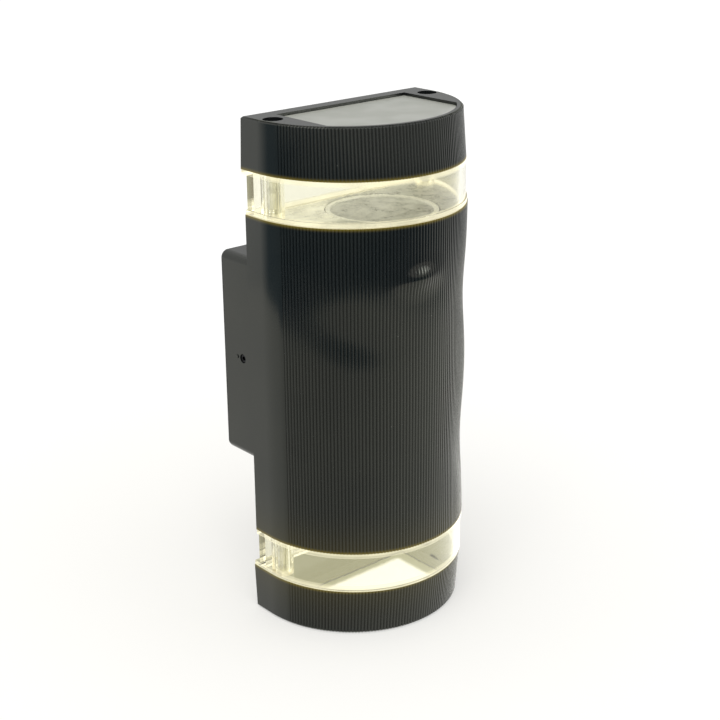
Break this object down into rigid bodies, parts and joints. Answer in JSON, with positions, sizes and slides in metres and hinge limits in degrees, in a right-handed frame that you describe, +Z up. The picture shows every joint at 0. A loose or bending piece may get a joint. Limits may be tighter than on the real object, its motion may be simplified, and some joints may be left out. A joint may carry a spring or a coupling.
{
  "type": "wall light",
  "caption": "Half-round up and down wall light: ribbed black housing between two clear bands, capped at each end by a glass window, with a deep box at the back.",
  "frame": {"origin": "centre of the cable hole, in the face that lies against the wall", "axes": "+Z up along the light, +Y into the wall, so the ribbed front looks along -Y, and +X to the right seen from the front"},
  "size_m": [0.105, 0.101, 0.24],
  "materials": {
    "black_housing": "satin moulded",
    "clear_plastic": "clear polished",
    "frosted_glass": "satin etched",
    "silicone": "translucent matt",
    "black_rubber": "matt",
    "reflector_metal": "mottled, half bright",
    "zinc_steel": "zinc plated",
    "ceramic": "unglazed",
    "brass": "plain",
    "lamp_shell": "white moulded",
    "lamp_lens": "frosted, lit",
    "nylon": "natural",
    "lead_sleeve": "silicone sleeve"
  },
  "bodies": {
    "fitting": {"body_housing": "black_housing", "wall_box": "black_housing", "box_seal": "black_rubber", "wall_seal": "black_rubber", "box_screws": "zinc_steel", "wall_bracket": "zinc_steel", "grub_screws": "zinc_steel", "lead_grommet": "black_rubber", "terminal_block": "nylon", "terminal_inserts": "brass", "clamp_screws": "zinc_steel", "block_screws": "zinc_steel", "lamp_bracket": "zinc_steel", "lamp_bracket_screws": "zinc_steel", "upper_body_seal": "silicone", "lower_body_seal": "silicone", "upper_reflector_plate": "reflector_metal", "lower_reflector_plate": "reflector_metal", "upper_lampholder": "ceramic", "lower_lampholder": "ceramic", "upper_holder_contacts": "brass", "lower_holder_contacts": "brass", "upper_holder_screws": "zinc_steel", "lower_holder_screws": "zinc_steel", "upper_lamp_leads": "lead_sleeve", "lower_lamp_leads": "lead_sleeve"},
    "upper_cap_set": {"upper_cap": "black_housing", "upper_window_glass": "frosted_glass", "upper_glass_bed": "silicone", "upper_cap_seal": "silicone", "upper_clear_band": "clear_plastic", "upper_cap_screws": "zinc_steel"},
    "lower_cap_set": {"lower_cap": "black_housing", "lower_window_glass": "frosted_glass", "lower_glass_bed": "silicone", "lower_cap_seal": "silicone", "lower_clear_band": "clear_plastic", "lower_cap_screws": "zinc_steel"},
    "upper_lamp": {"upper_lamp_shell": "lamp_shell", "upper_lamp_lens": "lamp_lens", "upper_lamp_pins": "brass"},
    "lower_lamp": {"lower_lamp_shell": "lamp_shell", "lower_lamp_lens": "lamp_lens", "lower_lamp_pins": "brass"}
  },
  "joints": [
    {"name": "upper_cap_lift", "type": "slide", "parent": "fitting", "child": "upper_cap_set", "axis": [0, 0, 1], "range_m": [0, 0.06]},
    {"name": "lower_cap_drop", "type": "slide", "parent": "fitting", "child": "lower_cap_set", "axis": [0, 0, -1], "range_m": [0, 0.06]},
    {"name": "upper_lamp_turn", "type": "hinge", "parent": "fitting", "child": "upper_lamp", "pos_m": [0, -0.069, 0], "axis": [0, 0, 1], "range_deg": [0, 22]},
    {"name": "lower_lamp_turn", "type": "hinge", "parent": "fitting", "child": "lower_lamp", "pos_m": [0, -0.069, 0], "axis": [0, 0, -1], "range_deg": [0, 22]}
  ]
}
